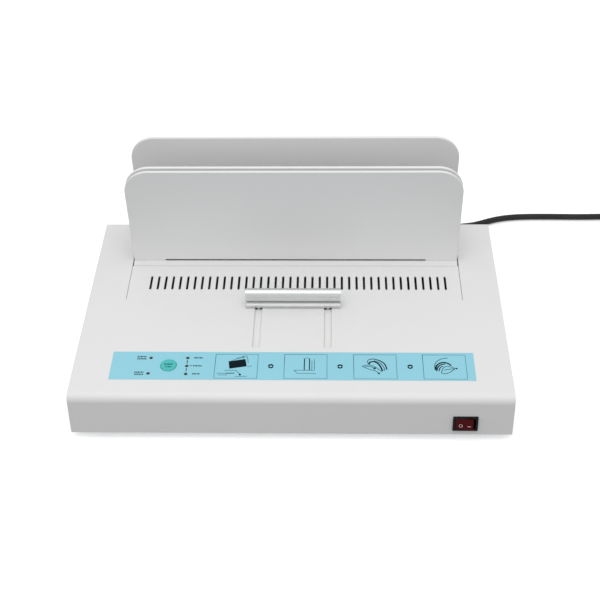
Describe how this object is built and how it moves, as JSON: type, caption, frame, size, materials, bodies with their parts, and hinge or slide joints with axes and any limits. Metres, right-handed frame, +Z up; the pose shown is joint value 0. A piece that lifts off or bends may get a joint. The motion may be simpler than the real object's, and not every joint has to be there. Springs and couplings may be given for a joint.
{
  "type": "thermal binding machine",
  "caption": "Desktop thermal binding machine: flat sheet-metal body, upright document plates over a hot plate, and a sliding clamp worked by an aluminium handle.",
  "frame": {"origin": "middle of the footprint of the machine without its cord, on the surface that it stands on", "axes": "+X to the user's right along the body, +Y to the back, +Z up"},
  "size_m": [0.6406, 0.3281, 0.1603],
  "materials": {
    "cover_paint": "satin powder coat with a fine texture",
    "plate_paint": "satin powder coat with a fine texture",
    "sheet_steel": "zinc-plated sheet",
    "fastener_steel": "plated",
    "rod_chrome": "ground and plated",
    "handle_aluminium": "satin extrusion",
    "bar_aluminium": "milled",
    "bushing_bronze": "sintered",
    "foot_rubber": "matte",
    "insulation": "fibre board",
    "mica": "mica sheet",
    "thermal_parts": "glazed",
    "board_laminate": "glass laminate",
    "small_plastic": "moulded",
    "status_lens": "tinted",
    "timer_lens": "tinted",
    "relay_case": "moulded",
    "capacitor_case": "moulded",
    "transformer_core": "laminated, varnished",
    "terminal_plastic": "moulded",
    "wire_insulation": "extruded",
    "label_film": "printed film",
    "button_green": "moulded",
    "switch_black": "moulded",
    "rocker_red": "moulded",
    "terminal_brass": "tinned",
    "shutter_white": "moulded strip",
    "boot_plastic": "moulded",
    "cord_jacket": "extruded jacket",
    "plug_plastic": "moulded",
    "pin_metal": "nickel plated"
  },
  "bodies": {
    "base": {"top_cover": "cover_paint", "chassis": "sheet_steel", "foot_front_left": "foot_rubber", "foot_front_right": "foot_rubber", "foot_rear_left": "foot_rubber", "foot_rear_right": "foot_rubber", "foot_screws": "fastener_steel", "cover_screws": "fastener_steel", "trough_ends": "sheet_steel", "front_guard_plate": "plate_paint", "inner_plate": "plate_paint", "plate_spacers": "fastener_steel", "plate_screws": "fastener_steel", "heater_pan": "sheet_steel", "insulation_board": "insulation", "heating_element": "mica", "hot_plate": "bar_aluminium", "heater_standoffs": "fastener_steel", "thermostat": "thermal_parts", "thermal_fuse": "thermal_parts", "guide_rod_left": "rod_chrome", "guide_rod_right": "rod_chrome", "rod_brackets": "sheet_steel", "rod_screws": "fastener_steel", "control_board": "board_laminate", "board_standoffs": "fastener_steel", "tact_switch": "small_plastic", "status_leds": "status_lens", "timer_leds": "timer_lens", "buzzer": "small_plastic", "power_board": "board_laminate", "power_standoffs": "fastener_steel", "relay": "relay_case", "filter_capacitor": "capacitor_case", "transformer": "transformer_core", "terminal_block": "terminal_plastic", "mains_wires": "wire_insulation", "control_label": "label_film", "switch_housing": "switch_black", "switch_terminals": "terminal_brass", "strain_relief": "boot_plastic", "cord_lead": "cord_jacket", "cord_coil": "cord_jacket", "cord_tail": "cord_jacket", "plug_body": "plug_plastic", "plug_pins": "pin_metal"},
    "carriage": {"carriage_arm_left": "bar_aluminium", "carriage_arm_right": "bar_aluminium", "carriage_bar": "bar_aluminium", "slide_bushings": "bushing_bronze", "handle_posts": "fastener_steel", "handle": "handle_aluminium", "handle_screws": "fastener_steel", "slot_shutter_left": "shutter_white", "slot_shutter_right": "shutter_white", "clamp_plate": "plate_paint", "clamp_plate_screws": "fastener_steel"},
    "start_button": {"start_button": "button_green"},
    "power_rocker": {"power_rocker": "rocker_red"}
  },
  "joints": [
    {"name": "clamp_slide", "type": "slide", "parent": "base", "child": "carriage", "axis": [0, -1, 0], "range_m": [0, 0.043]},
    {"name": "start_press", "type": "slide", "parent": "base", "child": "start_button", "axis": [0, 0, -1], "range_m": [0, 0.0008], "stiffness_N_per_m": 400, "springref_m": -0.001},
    {"name": "power_rock", "type": "hinge", "parent": "base", "child": "power_rocker", "pos_m": [0.157, -0.11931, 0.02002], "axis": [0, 0.1736, 0.9848], "range_deg": [0, 16]}
  ]
}
